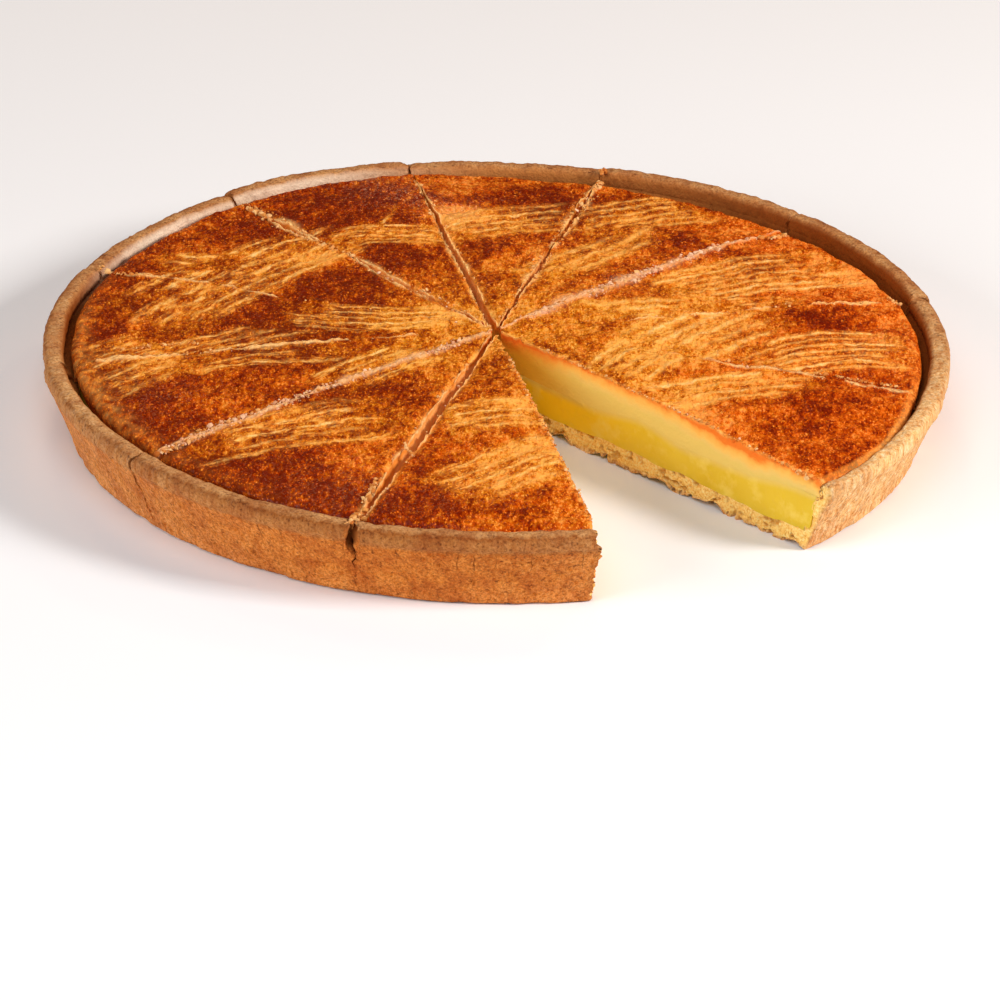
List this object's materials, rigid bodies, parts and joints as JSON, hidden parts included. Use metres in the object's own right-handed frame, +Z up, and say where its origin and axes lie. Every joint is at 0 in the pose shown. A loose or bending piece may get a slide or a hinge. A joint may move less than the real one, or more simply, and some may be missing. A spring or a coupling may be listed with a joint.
{
  "type": "gateau basque",
  "caption": "Round baked custard tart with a browned, fork-scored pastry lid, precut in wedges with one place left open so the layers show; food to serve or display",
  "frame": {"origin": "on the table under the axis of the round cake, where all the cuts meet", "axes": "+Z is up through the lid; +X and +Y lie on the table; the open place lies towards +X and -Y, between bearings -76.7 and -45 degrees"},
  "size_m": [0.2698, 0.2698, 0.0274],
  "materials": {
    "shell": "matte, sandy baked shortcrust",
    "custard": "moist set custard, soft sheen",
    "lid": "egg-washed baked crust, satin"
  },
  "bodies": {
    "root": {"shell_01": "shell", "custard_01": "custard", "lid_01": "lid", "shell_02": "shell", "custard_02": "custard", "lid_02": "lid", "shell_03": "shell", "custard_03": "custard", "lid_03": "lid", "shell_04": "shell", "custard_04": "custard", "lid_04": "lid", "shell_05": "shell", "custard_05": "custard", "lid_05": "lid", "shell_06": "shell", "custard_06": "custard", "lid_06": "lid", "shell_07": "shell", "custard_07": "custard", "lid_07": "lid", "shell_08": "shell", "custard_08": "custard", "lid_08": "lid", "shell_09": "shell", "custard_09": "custard", "lid_09": "lid", "shell_10": "shell", "custard_10": "custard", "lid_10": "lid", "shell_11": "shell", "custard_11": "custard", "lid_11": "lid"}
  },
  "joints": []
}
